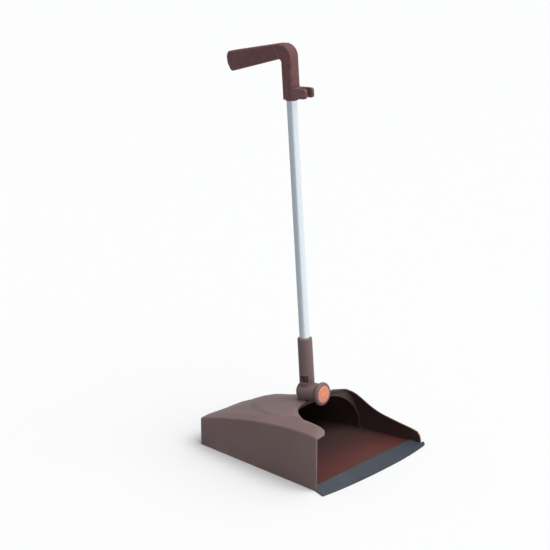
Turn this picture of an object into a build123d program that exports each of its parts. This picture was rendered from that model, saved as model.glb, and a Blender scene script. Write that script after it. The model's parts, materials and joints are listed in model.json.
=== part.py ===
from build123d import *
import os
from math import cos, radians, sin

os.makedirs("parts", exist_ok=True)

# Pan in plan: the mouth faces -Y, the back +Y, the floor stands on Z = 0
mouth_y = -163.0
back_y = 154.0
mouth_half = 153.5
back_half = 124.0
skin = 2.6
floor_t = 3.0
wing_y = -175.5
wing_x = 150.9
low_z = -10.0
foot_z = 6.0
corner_r = 8.0
shoulder_r = 4.0
back_r = 3.0

# Stations from mouth to back: place, left wall height, crease across and above the wall,
# crown across and up, then the right shoulder as shares of the crown height and of the way out
stations = [
    (-200.0, 104.5, -114.0, 3.0, 0.0, 100.0, 1.05, 0.66),
    (mouth_y, 104.5, -114.0, 3.0, 0.0, 100.0, 1.05, 0.66),
    (-78.0, 102.5, -114.0, 3.5, 0.0, 99.5, 1.05, 0.66),
    (-17.0, 94.5, -114.0, 4.0, 0.0, 98.0, 1.05, 0.66),
    (30.0, 85.4, -112.0, 4.5, -7.5, 90.8, 0.72, 0.33),
    (75.0, 75.5, -108.0, 3.8, -7.5, 81.8, 0.47, 0.335),
    (118.0, 65.0, -104.0, 2.6, -6.7, 67.3, 0.43, 0.42),
    (back_y, 53.0, -101.0, 1.4, -10.5, 51.5, 0.455, 0.34),
]

# Mouth of the hood: its edge in plan on the left, and the slanting top of the right wall from the side
hood_edge_y = -26.3
nose = [(-140, -164.5), (-128, -161.5), (-121, -155.5), (-117, -147)]
left_edge = [
    (-112, -130), (-105, -108), (-97, -82), (-81, -61),
    (-66, -46), (-49, -35.5), (-29, -28.5), (-14, -26.5),
]
right_slant = [
    (-22, 92), (-32, 79.3), (-41, 70.2), (-53, 60.7), (-66, 53.2),
    (-82, 46.6), (-107, 40.2), (-131, 34.4), (-155, 28.8),
]
rim_w = 5.0
rim_h = 3.0
rim_top = [(-15, 98.4), (25, 101.4), (60, 101.4), (72, 99.6), (90, 94.9), (108, 87), (112, 84)]

# Arched rib inside the hood, in a plane leaning forward at the foot
arch_y = -21.0
arch_z = 95.0
arch_lean = 10.0
arch_t = 3.5
arch_half = [(0, -3), (40, -4.3), (68, -8.3), (100, -22.5), (122.5, -43), (131.5, -60), (133.5, -93.4)]
bead_w = 4.5
bead_t = 2.6
plateau_h = 2.3
plateau_ramp = 11.0
plateau_edge = [
    (-95, -90), (-107, -75), (-111.5, -50), (-110.5, -16), (-104, 8), (-92, 33), (-74, 59), (-50, 84),
    (-22, 94), (8, 95), (34, 86), (50, 62), (56, 30), (57, -10), (57, -60),
]

# Rubber lip
lip_front = -196.9
lip_rear = -153.5
lip_half = 161.0
lip_edge = 1.0
lip_top = 5.6
lip_bow = [
    (-158.5, -187.6), (-118, -192.4), (-60, -195.9), (0, lip_front),
    (60, -195.7), (112, -191.6), (148, -186.5),
]

# Tilting joint: cross pin in front of the hood edge, handle leaning back from upright
pin_y = -31.0
pin_z = 109.5
pin_r = 3.0
lean = 4.2
play = 0.3
slip = 0.05

# T fitting, in the handle frame whose origin is the pin
skirt_in = 9.6
slot_in = 4.8
slot_top = 6.0
slot_front = -5.6
slot_back = 29.6
knuckle_r = 5.4
knuckle_half = 4.6
barrel_r = 18.5
barrel_axis = 7.5
barrel_low = -5.0
barrel_front = -13.0
barrel_back = 33.0
end_round = 9.0
seat_z = -5.4
seat_half = 12.5
seat_deep = -10.0
seat_front = 9.0
seat_back = 31.0
screw_places = [(0, 14.5, 0), (0, 23.5, 0)]
pole_y = 14.8
sleeve_r = 14.6
sleeve_top_r = 14.2
sleeve_top = 115.6
sleeve_round = 3.6
window_y = 12.0
window_w = 17.0
window_low = 28.0
window_high = 42.0
window_floor = -4.0

# Ears of the bracket and the slots for them
ear_in = 5.1
ear_out = 9.3
ear_r = 5.0
screw_shaft = 1.7
screw_head_r = 3.2
screw_head_h = 2.2
pin_left = -12.5
pin_right = 14.5
base_front = 9.5
base_back = 28.5
base_top = -1.9

# Button and bezel on the front end of the barrel
bezel_front = -25.6
bezel_r = 22.8
bezel_round = 4.8
cup_r = 16.7
cup_floor = -16.5
floor_back = -14.0
spigot_r = 10.0
spigot_back = -9.5
clip_bore = 7.0
button_r = 16.4
button_back = -22.4
button_front = -25.8
button_crown = 0.9
stem_r = 3.5
stem_end = -12.3
groove_r = 2.6
ring_r = 5.8
clip_front = -13.9
clip_back = -13.2
spring_r = 7.0
wire_r = 0.35
spring_turns = 2.5

# Pole
pole_r = 10.0
pole_bore = 8.8
pole_low = 43.5
pole_high = 633.0
plug_high = 70.0
screw_z = 56.0
screw_r = 2.0
head_floor = 12.2

# Grip
leg_low = 575.4
leg_half = 12.5
leg_y = pole_y
leg_depth = 12.5
grip_round = 4.5
clip_low = 580.0
clip_high = 598.5
clip_y = -17.0
clip_r = 10.0
clip_half = 13.2
clip_tip = -30.5
clip_round = 7.0
throat = 7.0
fix_z = 602.0
fix_r = 1.8
grip_end = [(152.5, 621.2), (160.5, 636), (162, 649.5), (158.5, 659)]

handle = Plane(
    origin=(0, pin_y, pin_z),
    x_dir=(1, 0, 0),
    z_dir=(0, sin(radians(lean)), cos(radians(lean))),
)
# Same frame with the plane's normal pointing out of the front, and with the normal along +X
handle_front = Plane(origin=handle.origin, x_dir=(1, 0, 0), z_dir=-handle.y_dir)
handle_side = Plane(origin=handle.origin, x_dir=handle.y_dir, z_dir=(1, 0, 0))
across = Plane(origin=(0, 0, 0), x_dir=(1, 0, 0), z_dir=(0, -1, 0))
arch_plane = Plane(
    origin=(0, arch_y, arch_z),
    x_dir=(1, 0, 0),
    z_dir=(0, -cos(radians(arch_lean)), sin(radians(arch_lean))),
)


def pan_form(inset, low=low_z):
    with BuildPart() as form:
        for y, z_left, x_crease, rise, x_crown, z_crown, side_share, top_share in stations:
            share = (y - mouth_y) / (back_y - mouth_y)
            half = mouth_half + (back_half - mouth_half) * share
            side_corner = Vector(half, side_share * z_crown)
            top_corner = Vector(x_crown + top_share * (half - x_crown), z_crown)
            along = (top_corner - side_corner).normalized()
            start = side_corner + Vector(-along.Y, along.X) * inset
            side_corner = start + along * ((half - inset - start.X) / along.X)
            top_corner = start + along * ((z_crown - inset - start.Y) / along.Y)
            foot = Vector(half - inset, foot_z)
            crown = Vector(x_crown, z_crown - inset)
            crease = Vector(x_crease, z_left + rise - inset)
            dip = (crown.Y - crease.Y) * 0.3
            left_top = Vector(inset - half, z_left - inset)
            with BuildSketch(across.offset(-y)):
                with BuildLine():
                    Polyline(left_top, (inset - half, low), (half - inset, low), foot)
                    Bezier(foot, side_corner, top_corner, crown)
                    Bezier(crown, (x_crown - 45, crown.Y), (-75, crease.Y + dip), crease)
                    Line(crease, left_top)
                make_face()
        loft()
    return form.part


def arch_face(grow):
    right = [(x + grow * x / 133, v + grow * (1 + v / 93.4)) for x, v in arch_half]
    left = [(-x, v) for x, v in reversed(right)][:-1]
    points = left + right
    with BuildSketch(arch_plane) as face:
        with BuildLine():
            Spline(*points)
            Polyline(points[-1], (points[-1][0], -105), (points[0][0], -105), points[0])
        make_face()
    return face.sketch_local


outer_form = pan_form(0)

# Hollow of the pan, open through the mouth
with BuildPart() as hollow:
    add(pan_form(skin, floor_t))
    with BuildSketch(Plane.XY):
        with BuildLine():
            Polyline((-250, -250), (250, -250), (250, back_y - skin), (-250, back_y - skin), close=True)
        make_face()
    extrude(amount=250, mode=Mode.INTERSECT)

# Space in front of the hood: inside the edge in plan and above the slanting right wall
with BuildPart() as hood_cut:
    with BuildSketch(Plane.XY):
        with BuildLine():
            Polyline((20, hood_edge_y), (250, hood_edge_y), (250, -250), (nose[0][0], -250), nose[0])
            Spline(*nose, *left_edge, (4, hood_edge_y), (20, hood_edge_y))
        make_face()
    extrude(amount=200)
    with BuildSketch(Plane.YZ.offset(-200)):
        with BuildLine():
            slant = Spline(*right_slant)
            Polyline(slant @ 1, (-168, 24.5), (-173.5, 17), (wing_y, 9), (wing_y - 1, 5), (-250, 5))
            Polyline((-250, 5), (-250, 200), (right_slant[0][0], 200), slant @ 0)
        make_face()
    extrude(amount=450, mode=Mode.INTERSECT)

# Raised rim along the hood edge, fading out on both sides
with BuildPart() as hood_rim:
    add(hood_cut.part.moved(Location((0, rim_w, 0))))
    add(pan_form(-rim_h), mode=Mode.INTERSECT)
    add(pan_form(skin / 2), mode=Mode.SUBTRACT)
    with BuildSketch(across.offset(250)):
        with BuildLine():
            Polyline((rim_top[0][0], 50), *rim_top, (rim_top[-1][0], 50), close=True)
        make_face()
    extrude(amount=-500, mode=Mode.INTERSECT)

# Arched rib behind the hood edge, with a bead round the arch
with BuildPart() as arch_rib:
    with BuildSketch(arch_plane):
        Rectangle(400, 260)
    extrude(amount=-arch_t)
    with BuildSketch(arch_plane):
        add(arch_face(bead_w))
    extrude(amount=bead_t)
    with BuildSketch(arch_plane.offset(20)):
        add(arch_face(0))
    extrude(amount=-60, mode=Mode.SUBTRACT)
    add(pan_form(skin / 2), mode=Mode.INTERSECT)
    with BuildSketch(Plane.XY.offset(floor_t / 2)):
        Rectangle(400, 400)
    extrude(amount=200, mode=Mode.INTERSECT)

# Low raised field on the hood that carries the joint
with BuildPart() as plateau:
    with BuildSketch(Plane.XY.offset(55)):
        with BuildLine():
            Spline(*plateau_edge)
            Line(plateau_edge[-1], plateau_edge[0])
        make_face()
    extrude(amount=90)
    add(pan_form(-plateau_h), mode=Mode.INTERSECT)
    add(pan_form(skin / 2), mode=Mode.SUBTRACT)
    outline = plateau.edges().sort_by(SortBy.LENGTH)[-2:].sort_by(Axis.Z)[-1]
    chamfer(outline, length=plateau_h - 0.2, length2=plateau_ramp)

with BuildPart() as pan_shell:
    add(outer_form)
    with BuildSketch(Plane.XY):
        with BuildLine():
            Polyline(
                (-250, mouth_y),
                (wing_x, mouth_y),
                (wing_x, wing_y),
                (250, wing_y),
                (250, back_y),
                (-250, back_y),
                close=True,
            )
        make_face()
    extrude(amount=250, mode=Mode.INTERSECT)
    fillet(pan_shell.faces().sort_by(Axis.Y)[-1].edges().sort_by(Axis.X)[0], corner_r)
    left_top = pan_shell.edges().filter_by(lambda e: e.center().X < -120 and e.length > 250)
    fillet(left_top.sort_by(Axis.Z)[-1], shoulder_r)
    back_edges = pan_shell.faces().sort_by(Axis.Y)[-1].edges()
    fillet(back_edges.filter_by(lambda e: e.center().Z > 30).sort_by(SortBy.LENGTH)[-1], back_r)
    add(hollow.part, mode=Mode.SUBTRACT)
    add(plateau.part)
    add(hood_rim.part)
    add(hood_cut.part, mode=Mode.SUBTRACT)
    add(arch_rib.part)
    # Solid seat under the joint, drilled for the two screws
    with Locations(handle.location):
        with Locations((0, (seat_front + seat_back) / 2, (seat_z + seat_deep) / 2)):
            Box(2 * seat_half, seat_back - seat_front, seat_z - seat_deep)
    with BuildSketch(handle.offset(seat_z)):
        with Locations((0, seat_back / 2)):
            Rectangle(2 * seat_half + 4, seat_back)
    extrude(amount=30, mode=Mode.SUBTRACT)
    with Locations(handle.offset(-20).location):
        with Locations(*screw_places):
            Cylinder(screw_shaft + 2 * slip, 40, mode=Mode.SUBTRACT)
    with Locations(handle.offset(seat_deep - 5).location):
        with Locations(*screw_places):
            Cylinder(screw_head_r + play, 10, mode=Mode.SUBTRACT)
pan_shell.part.label = "pan_shell"
export_step(pan_shell.part, "parts/pan_shell.step")

# Rubber lip, glued over the front of the floor and reaching past both walls
with BuildPart() as rubber_lip:
    with BuildSketch(Plane.YZ.offset(-200)):
        with BuildLine():
            Polyline(
                (lip_front, 0),
                (mouth_y - play, 0),
                (mouth_y - play, floor_t),
                (lip_rear, floor_t),
                (lip_rear, lip_top),
                (mouth_y, lip_top - 1.1),
                (lip_front, lip_edge),
                close=True,
            )
        make_face()
    extrude(amount=400)
    with BuildSketch(Plane.XY):
        with BuildLine():
            Spline(*lip_bow)
            ThreePointArc(lip_bow[-1], (157.5, -182), (lip_half, -176))
            Polyline(
                (lip_half, -176),
                (wing_x - play, wing_y - 0.8),
                (wing_x - play, mouth_y),
                (wing_x - 2.4, lip_rear),
                (2.4 - wing_x, lip_rear),
                (play - wing_x, mouth_y - play),
                (-mouth_half - 0.5, mouth_y - play),
                (-161.3, -182),
            )
            ThreePointArc((-161.3, -182), (-162.4, -186.2), lip_bow[0])
        make_face()
    extrude(amount=20, mode=Mode.INTERSECT)
rubber_lip.part.label = "rubber_lip"
export_step(rubber_lip.part, "parts/rubber_lip.step")

# Bracket on the hood: a base plate and two ears round the pin
with BuildPart() as hinge_bracket:
    with BuildSketch(handle_side.offset(ear_in)):
        Circle(ear_r)
        with BuildLine():
            Polyline(
                (0, ear_r),
                (12, 3),
                (24, base_top),
                (24, seat_z),
                (base_front, seat_z),
                (4, -4.9),
                (0, -ear_r),
                close=True,
            )
        make_face()
    extrude(amount=ear_out - ear_in)
    mirror(about=Plane.YZ)
    with Locations(handle.location):
        with Locations((0, (base_front + base_back) / 2, (base_top + seat_z) / 2)):
            Box(2 * ear_out, base_back - base_front, base_top - seat_z)
        with Locations(*screw_places):
            Cylinder(screw_shaft + slip, 20, mode=Mode.SUBTRACT)
    with Locations(handle_side.location):
        Cylinder(pin_r + slip, 40, mode=Mode.SUBTRACT)
hinge_bracket.part.label = "hinge_bracket"
export_step(hinge_bracket.part, "parts/hinge_bracket.step")

# Two screws up through the hood into the bracket
with BuildPart() as bracket_screws:
    with Locations(handle.location):
        with Locations(*screw_places):
            with Locations((0, 0, (seat_deep - 2.4) / 2)):
                Cylinder(screw_shaft, -2.4 - seat_deep)
            with Locations((0, 0, seat_deep - screw_head_h / 2)):
                Cylinder(screw_head_r, screw_head_h)
            with Locations((0, 0, seat_deep - screw_head_h)):
                Box(4.0, 0.9, 1.6, mode=Mode.SUBTRACT)
                Box(0.9, 4.0, 1.6, mode=Mode.SUBTRACT)
bracket_screws.part.label = "bracket_screws"
export_step(bracket_screws.part, "parts/bracket_screws.step")

# T fitting: a barrel hooding the bracket and a sleeve for the pole
with BuildPart() as pivot_tee:
    with BuildSketch(handle_front.offset(-barrel_front)):
        with Locations((0, barrel_axis)):
            Circle(barrel_r)
        with Locations((0, barrel_low - barrel_r)):
            Rectangle(4 * barrel_r, 2 * barrel_r, mode=Mode.SUBTRACT)
    extrude(amount=barrel_front - barrel_back)
    back_face = pivot_tee.faces().filter_by(Axis(handle.origin, handle.y_dir)).sort_by(Axis.Y)[-1]
    fillet(back_face.edges().filter_by(lambda e: e.center().Z > pin_z - 4), end_round)
    with BuildSketch(handle_side):
        with BuildLine():
            Polyline(
                (pole_y + sleeve_top_r - sleeve_round, sleeve_top),
                (pole_y, sleeve_top),
                (pole_y, barrel_axis),
                (pole_y + sleeve_r, barrel_axis),
                (pole_y + sleeve_top_r, sleeve_top - sleeve_round),
            )
            RadiusArc(
                (pole_y + sleeve_top_r, sleeve_top - sleeve_round),
                (pole_y + sleeve_top_r - sleeve_round, sleeve_top),
                -sleeve_round,
            )
        make_face()
    revolve(axis=Axis(handle.from_local_coords(Vector(0, pole_y, 0)), handle.z_dir))
    with Locations(handle.location):
        with Locations((0, pole_y, (pole_low - 0.1 + sleeve_top + 5) / 2)):
            Cylinder(pole_r + slip, sleeve_top + 5 - pole_low + 0.1, mode=Mode.SUBTRACT)
        # Window of the catch in the side of the sleeve
        with Locations((window_floor - 10, window_y, (window_low + window_high) / 2)):
            Box(20.0, window_w, window_high - window_low, mode=Mode.SUBTRACT)
        # Room for the bracket: slots for the ears and a hollow between the skirts
        slot_mid = (slot_front + slot_back) / 2
        slot_len = slot_back - slot_front
        with Locations((0, slot_mid, (slot_top + barrel_low - 1) / 2)):
            with GridLocations(slot_in + skirt_in, 1, 2, 1):
                Box(skirt_in - slot_in, slot_len, slot_top - barrel_low + 1, mode=Mode.SUBTRACT)
        with Locations((0, slot_mid, (barrel_low - 1) / 2)):
            Box(2 * skirt_in, slot_len, 1 - barrel_low, mode=Mode.SUBTRACT)
    with Locations(handle_side.location):
        Cylinder(knuckle_r, 2 * knuckle_half)
        # Pin bore, blind on the left
        with Locations((0, 0, pin_left - 0.3 + 20)):
            Cylinder(pin_r + slip, 40, mode=Mode.SUBTRACT)
        # Cross bore and head pocket of the pole screw
        with Locations((pole_y, screw_z, 10 - 6.2)):
            Cylinder(screw_r + slip, 20, mode=Mode.SUBTRACT)
        with Locations((pole_y, screw_z, head_floor + 5)):
            Cylinder(3.9, 10, mode=Mode.SUBTRACT)
    with BuildSketch(handle_front.offset(-barrel_front)):
        with Locations((0, barrel_axis)):
            Circle(spigot_r + slip)
    extrude(amount=barrel_front - spigot_back - 0.5, mode=Mode.SUBTRACT)
    with BuildSketch(handle_front.offset(-barrel_front)):
        with Locations((0, barrel_axis)):
            Circle(clip_bore)
    extrude(amount=barrel_front + 8.4, mode=Mode.SUBTRACT)
pivot_tee.part.label = "pivot_tee"
export_step(pivot_tee.part, "parts/pivot_tee.step")

with BuildPart() as hinge_pin:
    with Locations(handle_side.offset((pin_left + pin_right) / 2).location):
        Cylinder(pin_r, pin_right - pin_left)
    chamfer(hinge_pin.edges().filter_by(GeomType.CIRCLE), 0.5)
hinge_pin.part.label = "hinge_pin"
export_step(hinge_pin.part, "parts/hinge_pin.step")

button_axis = Axis(handle.from_local_coords(Vector(0, 0, barrel_axis)), handle.y_dir)

# Round-edged bezel that closes the front of the barrel and guides the button
with BuildPart() as button_bezel:
    with BuildSketch(handle_side):
        with BuildLine():
            Polyline(
                (barrel_front, barrel_axis + spigot_r),
                (spigot_back, barrel_axis + spigot_r),
                (spigot_back, barrel_axis + clip_bore),
                (floor_back, barrel_axis + clip_bore),
                (floor_back, barrel_axis + stem_r + 2 * slip),
                (cup_floor, barrel_axis + stem_r + 2 * slip),
                (cup_floor, barrel_axis + cup_r),
                (bezel_front, barrel_axis + cup_r),
                (bezel_front, barrel_axis + bezel_r - bezel_round),
            )
            rim = TangentArc(
                (bezel_front, barrel_axis + bezel_r - bezel_round),
                (bezel_front + bezel_round, barrel_axis + bezel_r),
                tangent=(0, 1),
            )
            Polyline(
                rim @ 1,
                (-19.5, barrel_axis + bezel_r),
                (barrel_front, barrel_axis + barrel_r + 0.4),
                (barrel_front, barrel_axis + spigot_r),
            )
        make_face()
    revolve(axis=button_axis)
button_bezel.part.label = "button_bezel"
export_step(button_bezel.part, "parts/button_bezel.step")

with BuildPart() as lock_button:
    with BuildSketch(handle_side):
        with BuildLine():
            Polyline(
                (button_front - button_crown, barrel_axis),
                (stem_end, barrel_axis),
                (stem_end, barrel_axis + stem_r),
                (clip_back + slip, barrel_axis + stem_r),
                (clip_back + slip, barrel_axis + groove_r),
                (clip_front - slip, barrel_axis + groove_r),
                (clip_front - slip, barrel_axis + stem_r),
                (button_back, barrel_axis + stem_r),
                (button_back, barrel_axis + button_r),
                (button_front + 0.5, barrel_axis + button_r),
                (button_front, barrel_axis + button_r - 0.5),
            )
            TangentArc(
                (button_front - button_crown, barrel_axis),
                (button_front, barrel_axis + button_r - 0.5),
                tangent=(0, 1),
            )
        make_face()
    revolve(axis=button_axis)
lock_button.part.label = "lock_button"
export_step(lock_button.part, "parts/lock_button.step")

# Open ring in the groove that keeps the stem in the bezel
with BuildPart() as stem_clip:
    with BuildSketch(handle_front.offset(-clip_front)):
        with Locations((0, barrel_axis)):
            Circle(ring_r)
            Circle(groove_r + slip, mode=Mode.SUBTRACT)
        with Locations((0, barrel_axis - ring_r)):
            Rectangle(3.4, 2 * ring_r, mode=Mode.SUBTRACT)
    extrude(amount=clip_front - clip_back)
stem_clip.part.label = "stem_clip"
export_step(stem_clip.part, "parts/stem_clip.step")

# Return spring round the stem
spring_len = cup_floor - button_back - 2 * wire_r - 0.1
with BuildPart() as button_spring:
    with BuildLine():
        coil = Helix(
            pitch=spring_len / spring_turns,
            height=spring_len,
            radius=spring_r,
            center=handle.from_local_coords(Vector(0, button_back + wire_r + 0.05, barrel_axis)),
            direction=handle.y_dir,
        )
    with BuildSketch(Plane(origin=coil @ 0, z_dir=coil % 0)):
        Circle(wire_r)
    sweep(path=coil, is_frenet=True)
button_spring.part.label = "button_spring"
export_step(button_spring.part, "parts/button_spring.step")

with BuildPart() as pole_tube:
    with BuildSketch(handle.offset(pole_low)):
        with Locations((0, pole_y)):
            Circle(pole_r)
            Circle(pole_bore, mode=Mode.SUBTRACT)
    extrude(amount=pole_high - pole_low)
    with Locations(handle_side.location):
        with Locations((pole_y, screw_z, 5)):
            Cylinder(screw_r + slip, 20, mode=Mode.SUBTRACT)
    with BuildSketch(handle_front.offset(-pole_y)):
        with Locations((0, fix_z)):
            Circle(fix_r + slip)
    extrude(amount=-30, mode=Mode.SUBTRACT)
pole_tube.part.label = "pole_tube"
export_step(pole_tube.part, "parts/pole_tube.step")

# Plug that stiffens the foot of the tube round the cross screw
with BuildPart() as pole_plug:
    with BuildSketch(handle.offset(pole_low)):
        with Locations((0, pole_y)):
            Circle(pole_bore - slip)
    extrude(amount=plug_high - pole_low)
    with Locations(handle_side.location):
        with Locations((pole_y, screw_z, 10 - 6.2)):
            Cylinder(screw_r + slip, 20, mode=Mode.SUBTRACT)
pole_plug.part.label = "pole_plug"
export_step(pole_plug.part, "parts/pole_plug.step")

with BuildPart() as pole_screw:
    with Locations(handle_side.location):
        with Locations((pole_y, screw_z, (head_floor - 6.0) / 2)):
            Cylinder(screw_r, head_floor + 6.0)
        with Locations((pole_y, screw_z, head_floor + 1.0)):
            Cylinder(3.6, 2.0)
        with Locations((pole_y, screw_z, head_floor + 2.0)):
            Box(4.4, 0.9, 1.6, mode=Mode.SUBTRACT)
            Box(0.9, 4.4, 1.6, mode=Mode.SUBTRACT)
pole_screw.part.label = "pole_screw"
export_step(pole_screw.part, "parts/pole_screw.step")

# Open fork on the front of the grip, its prongs rounded in plan and from the side
with BuildPart() as broom_fork:
    with BuildSketch(handle.offset(clip_low)):
        with BuildLine():
            Polyline((-clip_half, 6), (-clip_half, clip_tip + 3.1))
            TangentArc((-clip_half, clip_tip + 3.1), (-throat, clip_tip + 3.1), tangent=(0, -1))
            Line((-throat, clip_tip + 3.1), (-throat, clip_y - 4))
            Line((-throat, clip_y - 4), (throat, clip_y - 4))
            Line((throat, clip_y - 4), (throat, clip_tip + 3.1))
            TangentArc((throat, clip_tip + 3.1), (clip_half, clip_tip + 3.1), tangent=(0, -1))
            Polyline((clip_half, clip_tip + 3.1), (clip_half, 6), (-clip_half, 6))
        make_face()
        with Locations((0, clip_y)):
            Circle(clip_r, mode=Mode.SUBTRACT)
    extrude(amount=clip_high - clip_low)
    with BuildSketch(handle_side.offset(-30)):
        with BuildLine():
            FilletPolyline(
                (10, clip_low),
                (10, clip_high),
                (clip_tip, clip_high),
                (clip_tip, clip_low),
                radius=[0, 0, clip_round, clip_round],
                close=True,
            )
        make_face()
    extrude(amount=60, mode=Mode.INTERSECT)

# Grip: a leg over the pole, an arm reaching back, and a clip for a broom handle
with BuildPart() as grip_body:
    with BuildSketch(handle_side.offset(-leg_half)):
        with BuildLine():
            FilletPolyline(
                (leg_y - leg_depth, leg_low),
                (leg_y + leg_depth, leg_low),
                (leg_y + leg_depth, 652),
                *grip_end,
                (36, 679),
                (leg_y - leg_depth, 679),
                radius=[0, 0, 6, 6, 12, 6, 5, 60, 24],
                close=True,
            )
        make_face()
    extrude(amount=2 * leg_half)
    sides = grip_body.faces().filter_by(Axis.X)
    fillet(sides.edges(), grip_round)
    with BuildSketch(handle.offset(leg_low - 1.2)):
        with Locations((0, pole_y)):
            Circle(11.6)
    extrude(amount=8)
    add(broom_fork.part)
    with BuildSketch(handle.offset(leg_low - 10)):
        with Locations((0, pole_y)):
            Circle(pole_r + slip)
    extrude(amount=pole_high + 1 - leg_low + 10, mode=Mode.SUBTRACT)
    with BuildSketch(handle_front.offset(-pole_y)):
        with Locations((0, fix_z)):
            Circle(fix_r + slip)
    extrude(amount=-30, mode=Mode.SUBTRACT)
grip_body.part.label = "grip_body"
export_step(grip_body.part, "parts/grip_body.step")

with BuildPart() as grip_screw:
    with BuildSketch(handle_front.offset(-leg_y - leg_depth - 2.2)):
        with Locations((0, fix_z)):
            Circle(3.4)
    extrude(amount=2.2)
    with BuildSketch(handle_front.offset(-leg_y - leg_depth)):
        with Locations((0, fix_z)):
            Circle(fix_r)
    extrude(amount=7.5)
    with Locations(handle_front.offset(-leg_y - leg_depth - 2.2).location):
        with Locations((0, fix_z, 0)):
            Box(4.4, 0.9, 1.6, mode=Mode.SUBTRACT)
            Box(0.9, 4.4, 1.6, mode=Mode.SUBTRACT)
grip_screw.part.label = "grip_screw"
export_step(grip_screw.part, "parts/grip_screw.step")
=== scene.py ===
import json
import math
import bmesh
import bpy
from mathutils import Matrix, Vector


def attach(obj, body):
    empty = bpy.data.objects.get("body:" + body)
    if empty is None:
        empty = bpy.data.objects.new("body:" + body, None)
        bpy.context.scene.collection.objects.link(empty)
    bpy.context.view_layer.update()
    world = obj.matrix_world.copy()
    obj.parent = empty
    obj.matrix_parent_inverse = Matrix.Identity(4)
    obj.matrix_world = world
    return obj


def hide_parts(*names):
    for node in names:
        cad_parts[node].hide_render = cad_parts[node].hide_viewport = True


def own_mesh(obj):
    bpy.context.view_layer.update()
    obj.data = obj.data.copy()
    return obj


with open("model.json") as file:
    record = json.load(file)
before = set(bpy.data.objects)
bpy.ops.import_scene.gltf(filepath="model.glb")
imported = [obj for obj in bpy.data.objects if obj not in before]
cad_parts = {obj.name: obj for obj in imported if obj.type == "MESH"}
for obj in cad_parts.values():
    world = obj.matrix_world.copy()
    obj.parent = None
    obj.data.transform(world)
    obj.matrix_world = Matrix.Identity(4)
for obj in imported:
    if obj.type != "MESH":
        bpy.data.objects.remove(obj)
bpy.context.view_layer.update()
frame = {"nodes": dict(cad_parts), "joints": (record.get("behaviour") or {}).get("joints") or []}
nodes = frame["nodes"]
scene = bpy.context.scene
print("frame loaded:", len(nodes), "nodes")


# A socket with arithmetic: each operator adds one Math node
class Wire:
    def __init__(self, tree, socket):
        self.tree = tree
        self.socket = socket

    def maths(self, operation, first, second):
        node = self.tree.nodes.new("ShaderNodeMath")
        node.operation = operation
        for slot, value in zip(node.inputs, (first, second)):
            plug(self.tree, slot, value)
        return Wire(self.tree, node.outputs[0])

    def __add__(self, other):
        return self.maths("ADD", self, other)

    def __radd__(self, other):
        return self.maths("ADD", other, self)

    def __sub__(self, other):
        return self.maths("SUBTRACT", self, other)

    def __rsub__(self, other):
        return self.maths("SUBTRACT", other, self)

    def __mul__(self, other):
        return self.maths("MULTIPLY", self, other)

    def __rmul__(self, other):
        return self.maths("MULTIPLY", other, self)

    def largest(self, other):
        return self.maths("MAXIMUM", self, other)

    # a noise made to swing about zero
    def swing(self, reach):
        return (self - 0.5) * reach


# A wire is linked to the slot, a plain value is set on it
def plug(tree, slot, value):
    if isinstance(value, Wire):
        tree.links.new(value.socket, slot)
    else:
        slot.default_value = value


# The nodes behind one shader, a material's or the room's
class NodeBench:
    def __init__(self, tree, shader):
        self.tree = tree
        self.shader = tree.nodes[shader]

    # any node: its type, its settings, then the values or links of its sockets
    def node(self, kind, settings=None, sockets=None, out=0):
        made = self.tree.nodes.new("ShaderNode" + kind)
        for key, value in (settings or {}).items():
            setattr(made, key, value)
        for key, value in (sockets or {}).items():
            plug(self.tree, made.inputs[key], value)
        return Wire(self.tree, made.outputs[out])

    def coord(self, kind="Object"):
        return self.node("TexCoord", out=kind)

    def axis(self, vector, letter):
        return self.node("SeparateXYZ", sockets={"Vector": vector}, out=letter)

    def dot(self, first, second):
        return self.node("VectorMath", {"operation": "DOT_PRODUCT"}, {0: first, 1: second}, out="Value")

    # turned first, then stretched
    def noise(self, scale, detail, rough, stretch=None, turn=None):
        spot = self.coord()
        if turn:
            spot = self.node("Mapping", sockets={"Vector": spot, "Rotation": turn})
        if stretch:
            spot = self.node("Mapping", sockets={"Vector": spot, "Scale": stretch})
        return self.node("TexNoise", sockets={"Vector": spot, "Scale": scale, "Detail": detail,
                                              "Roughness": rough})

    # 0 at low, 1 at high, eased between
    def band(self, value, low, high):
        return self.node("MapRange", {"interpolation_type": "SMOOTHSTEP"},
                         {"Value": value, "From Min": low, "From Max": high})

    # the Mix node's colours are its sockets 6 and 7, and their mix its output 2
    def mix(self, share, first, second):
        first, second = (shade if isinstance(shade, Wire) else (*shade, 1.0) for shade in (first, second))
        return self.node("Mix", {"data_type": "RGBA"}, {0: share, 6: first, 7: second}, out=2)

    def bump(self, height, strength, distance):
        return self.node("Bump", sockets={"Height": height, "Strength": strength, "Distance": distance})

    def feed(self, **sockets):
        for key, value in sockets.items():
            plug(self.tree, self.shader.inputs[key.replace("_", " ")], value)


# One material in the making
class Finish(NodeBench):
    def __init__(self, name):
        self.material = bpy.data.materials.new(name)
        self.material.use_nodes = True
        super().__init__(self.material.node_tree, "Principled BSDF")

    def wear(self, *pieces):
        for piece in pieces:
            slots = nodes[piece].data.materials
            slots.clear()
            slots.append(self.material)


# Share of a hollow piece's surface that looks towards its middle
def insideOf(finish, middle, blur):
    outwards = finish.node("VectorMath", {"operation": "SUBTRACT"}, {0: finish.coord(), 1: middle})
    facing = finish.dot(finish.coord("Normal"), outwards)
    return finish.band(facing, blur, -blur)


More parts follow.
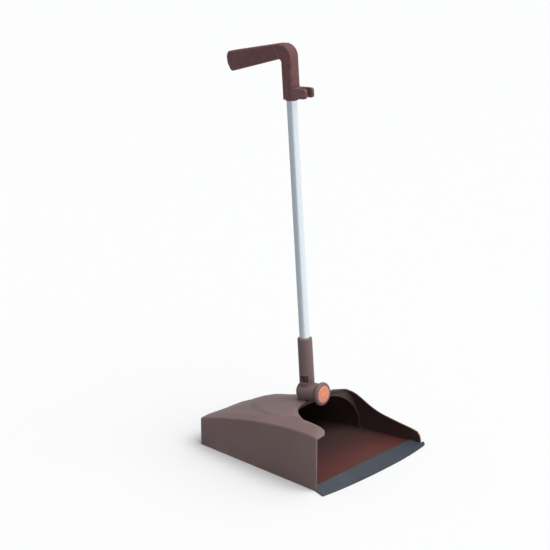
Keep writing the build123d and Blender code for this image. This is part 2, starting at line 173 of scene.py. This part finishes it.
# Painted shade inside the hollow: darker than the outside, redder on the floor by the lip, darkest at the
# back and on the walls, with a noise wobbling its edge
def insidePaintedShade(finish, inside):
    shadeEdgeNoise = finish.noise(**inside["shadeEdgeNoise"])
    depth = finish.axis(finish.coord(), "Y") + shadeEdgeNoise.swing(inside["shadeEdgeReach"])
    deep = finish.band(depth, inside["from"], inside["to"])
    upright = finish.axis(finish.coord("Normal"), "Z")
    wall = finish.band(upright, inside["floorLevel"], inside["wallLevel"])
    return finish.mix(deep.largest(wall), inside["front"], inside["deep"])


# What the mouldings share: flow clouds, a spark grain and slightly paler rims, a painted highlight
mouldedLook = {"cloudDetail": 4.0, "cloudRough": 0.55, "cloudFrom": 0.35, "cloudTo": 0.68,
               "cloudSheen": 0.10, "grainDetail": 2.0, "grainRough": 0.6, "grainSheen": 0.06,
               "grainHeight": 0.0004, "rimFrom": 0.515, "rimTo": 0.56}


# Moulded plastic or rubber
def mouldedFinish(name, pieceLook):
    look = {**mouldedLook, **pieceLook}
    finish = Finish(name)
    cloud = finish.noise(look["cloudScale"], look["cloudDetail"], look["cloudRough"])
    grain = finish.noise(look["grainScale"], look["grainDetail"], look["grainRough"])
    shade = finish.mix(finish.band(cloud, look["cloudFrom"], look["cloudTo"]), look["dark"], look["light"])
    # painted highlight: convex rims, found by pointiness, are mixed towards the paler rim colour
    edgeHighlight = finish.band(finish.node("NewGeometry", out="Pointiness"), look["rimFrom"], look["rimTo"])
    shade = finish.mix(edgeHighlight * look["rimPale"], shade, look["rim"])
    if "inside" in look:
        inside = look["inside"]
        # painted shade: surfaces that face the hollow's middle take the darker inside colours
        insideShadeShare = insideOf(finish, inside["middle"], inside["blur"])
        shade = finish.mix(insideShadeShare, shade, insidePaintedShade(finish, inside))
    if "fade" in look:
        fade = look["fade"]
        along = finish.band(finish.axis(finish.coord(), "X"), fade["from"], fade["to"])
        shade = finish.mix(along * fade["share"], shade, look["dark"])
    rough = look["rough"] + cloud.swing(look["cloudSheen"]) + grain.swing(look["grainSheen"])
    relief = finish.bump(grain, look["grainDepth"], look["grainHeight"])
    finish.feed(Base_Color=shade, Roughness=rough, Normal=relief, Specular_IOR_Level=look["gloss"])
    return finish


# Pan: brown outside, with painted shade inside
panLook = {"dark": (0.180, 0.115, 0.111), "light": (0.205, 0.133, 0.129), "rim": (0.27, 0.19, 0.185),
           "rimPale": 0.5, "rough": 0.48, "gloss": 0.3, "cloudScale": 9.0, "grainScale": 900.0,
           "grainDepth": 0.10,
           "inside": {"middle": (0.0, -0.09, 0.045), "blur": 0.002, "from": -0.13, "to": -0.04,
                      "front": (0.098, 0.027, 0.023), "deep": (0.054, 0.030, 0.027),
                      "floorLevel": 0.8, "wallLevel": 0.5, "shadeEdgeReach": 0.05,
                      "shadeEdgeNoise": {"scale": 26.0, "detail": 4.0, "rough": 0.6, "stretch": (0.35, 1.0, 1.0)}}}
panPlastic = mouldedFinish("panPlastic", panLook)
panPlastic.wear("pan_shell")

# Fittings of the joint
fittingLook = {"dark": (0.165, 0.106, 0.104), "light": (0.195, 0.128, 0.127), "rim": (0.26, 0.19, 0.185),
               "rimPale": 0.5, "rough": 0.42, "gloss": 0.3, "cloudScale": 22.0, "grainScale": 1100.0,
               "grainDepth": 0.08}
fittingPlastic = mouldedFinish("fittingPlastic", fittingLook)
fittingPlastic.wear("pivot_tee", "button_bezel", "hinge_bracket", "pole_plug")

# Grip: redder brown with a coarse grain
gripLook = {"dark": (0.142, 0.060, 0.062), "light": (0.174, 0.081, 0.083), "rim": (0.23, 0.135, 0.135),
            "rimPale": 0.4, "rough": 0.55, "gloss": 0.25, "cloudScale": 110.0, "grainScale": 700.0,
            "grainDepth": 0.35}
gripPlastic = mouldedFinish("gripPlastic", gripLook)
gripPlastic.wear("grip_body")

# Orange push button
buttonLook = {"dark": (0.72, 0.245, 0.150), "light": (0.80, 0.285, 0.180), "rim": (0.86, 0.36, 0.25),
              "rimPale": 0.5, "rough": 0.42, "gloss": 0.4, "cloudScale": 60.0, "grainScale": 1200.0,
              "grainDepth": 0.06}
buttonPlastic = mouldedFinish("buttonPlastic", buttonLook)
buttonPlastic.wear("lock_button")

# Blue-grey rubber lip, darker towards its right end
lipLook = {"dark": (0.036, 0.045, 0.062), "light": (0.066, 0.073, 0.090), "rim": (0.10, 0.11, 0.13),
           "rimPale": 0.4, "rough": 0.62, "gloss": 0.25, "cloudScale": 14.0, "grainScale": 1400.0,
           "grainDepth": 0.12, "fade": {"from": -0.17, "to": 0.17, "share": 0.85}}
lipRubber = mouldedFinish("lipRubber", lipLook)
lipRubber.wear("rubber_lip")


# Bare metal, with the marks of how it was worked
def metalFinish(name, look):
    finish = Finish(name)
    marks = finish.noise(**look["marks"])
    finish.feed(Base_Color=finish.mix(marks, look["dark"], look["light"]), Metallic=look["metal"],
                Roughness=look["rough"] + marks.swing(look["marksSheen"]),
                Normal=finish.bump(marks, look["marksDepth"], look["marksHeight"]))
    return finish


# Satin tube: drawn streaks along its length, turned to the way it leans
poleLook = {"dark": (0.68, 0.75, 0.805), "light": (0.78, 0.845, 0.895), "rough": 0.28, "metal": 0.7,
            "marksSheen": 0.15, "marksDepth": 0.05, "marksHeight": 0.0002,
            "marks": {"scale": 420.0, "detail": 3.0, "rough": 0.6, "stretch": (1.0, 1.0, 0.004),
                      "turn": (math.radians(4.2), 0.0, 0.0)}}
poleMetal = metalFinish("poleMetal", poleLook)
poleMetal.wear("pole_tube")

# Plated screws, pin and clip, and the spring below
steelLook = {"dark": (0.42, 0.42, 0.43), "light": (0.60, 0.60, 0.61), "rough": 0.32, "metal": 1.0,
             "marksSheen": 0.2, "marksDepth": 0.08, "marksHeight": 0.0002,
             "marks": {"scale": 1500.0, "detail": 2.0, "rough": 0.6}}
screwSteel = metalFinish("screwSteel", steelLook)
screwSteel.wear("bracket_screws", "hinge_pin", "stem_clip", "pole_screw", "grip_screw")
print("finishes done")

# Return spring: a welded, smooth-shaded copy of its node, carried by the button
springLook = {"weld": 0.000001, "slot": "screw_steel"}
press = next(joint for joint in frame["joints"] if joint["name"] == "button_press")
pressAxis = Vector(press["axis"])
pressDepth = press["range_m"][1]
coil = bmesh.new()
coil.from_mesh(nodes["button_spring"].data)
bmesh.ops.remove_doubles(coil, verts=coil.verts, dist=springLook["weld"])
springMesh = bpy.data.meshes.new("returnSpring")
coil.to_mesh(springMesh)
coil.free()
springMesh.shade_smooth()
springMesh.materials.append(screwSteel.material)
alongPress = [pressAxis.dot(corner.co) for corner in springMesh.vertices]
springFront, springBack = min(alongPress), max(alongPress)
returnSpring = bpy.data.objects.new("returnSpring", springMesh)
scene.collection.objects.link(returnSpring)
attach(returnSpring, "button")
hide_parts("button_spring")
pressAxis * springFront
1.0 - pressDepth / (springBack - springFront)
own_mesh(returnSpring)
print("return spring set")

brightSide = (0.643, -0.766, 0.0)  # the viewer's right

# Pale paper floor that keeps the shadow; shiny pieces see it brighten towards the bright side
floorLook = {"reach": 30.0, "seen": (0.86, 0.86, 0.86), "bounced": (0.53, 0.53, 0.53), "rough": 0.9,
             "gloss": 0.1, "mirrorDim": (0.30, 0.32, 0.34), "mirrorBright": (0.98, 0.98, 0.98),
             "mirrorFrom": -0.6, "mirrorTo": 0.5}
reach = floorLook["reach"]
floorCorners = [(-reach, -reach, 0), (reach, -reach, 0), (reach, reach, 0), (-reach, reach, 0)]
floorMesh = bpy.data.meshes.new("studioFloor")
floorMesh.from_pydata(floorCorners, [], [(0, 1, 2, 3)])
studioFloor = bpy.data.objects.new("studioFloor", floorMesh)
scene.collection.objects.link(studioFloor)
paper = Finish("floorPaper")
floorSide = paper.dot(paper.coord(), brightSide)
mirrorShare = paper.band(floorSide, floorLook["mirrorFrom"], floorLook["mirrorTo"])
mirrored = paper.mix(mirrorShare, floorLook["mirrorDim"], floorLook["mirrorBright"])
lit = paper.mix(paper.node("LightPath", out="Is Camera Ray"), floorLook["bounced"], floorLook["seen"])
paper.feed(Base_Color=paper.mix(paper.node("LightPath", out="Is Glossy Ray"), lit, mirrored),
           Roughness=floorLook["rough"], Specular_IOR_Level=floorLook["gloss"])
floorMesh.materials.append(paper.material)

# Light: a room that brightens towards the bright side, seen as white, and a broad soft key
lightLook = {"dim": (0.33, 0.34, 0.355), "bright": (0.86, 0.86, 0.86), "seen": (1.0, 1.0, 1.0),
             "from": -0.75, "to": 0.85, "strength": 1.0,
             "keyStrength": 2.0, "keyFrom": (0.10, -0.58, 1.15), "keySpread": 50.0}
world = bpy.data.worlds.new("studioRoom")
world.use_nodes = True
scene.world = world
room = NodeBench(world.node_tree, "Background")
roomSide = room.dot(room.coord("Generated"), brightSide)
roomShare = room.band(roomSide, lightLook["from"], lightLook["to"])
roomShade = room.mix(roomShare, lightLook["dim"], lightLook["bright"])
room.feed(Color=room.mix(room.node("LightPath", out="Is Camera Ray"), roomShade, lightLook["seen"]),
          Strength=lightLook["strength"])
keyLamp = bpy.data.lights.new("keySun", "SUN")
keyLamp.energy = lightLook["keyStrength"]
keyLamp.angle = math.radians(lightLook["keySpread"])
keyObject = bpy.data.objects.new("keySun", keyLamp)
keyObject.rotation_euler = Vector(lightLook["keyFrom"]).to_track_quat("Z", "Y").to_euler()
scene.collection.objects.link(keyObject)

# Camera at the photograph's viewing angle
viewLook = {"stand": Vector((-2.6666, -2.2045, 1.4531)), "aim": Vector((-0.0367, 0.0355, 0.3484)),
            "lens": 125.54, "sensor": 36.0, "farClip": 200.0}
viewData = bpy.data.cameras.new("photoView")
viewData.lens = viewLook["lens"]
viewData.sensor_width = viewLook["sensor"]
viewData.clip_end = viewLook["farClip"]
viewObject = bpy.data.objects.new("photoView", viewData)
viewObject.location = viewLook["stand"]
backwards = viewLook["stand"] - viewLook["aim"]
viewObject.rotation_euler = backwards.to_track_quat("Z", "Y").to_euler()
scene.collection.objects.link(viewObject)
scene.camera = viewObject
scene.view_settings.view_transform = "Standard"
print("stage, light and camera set")
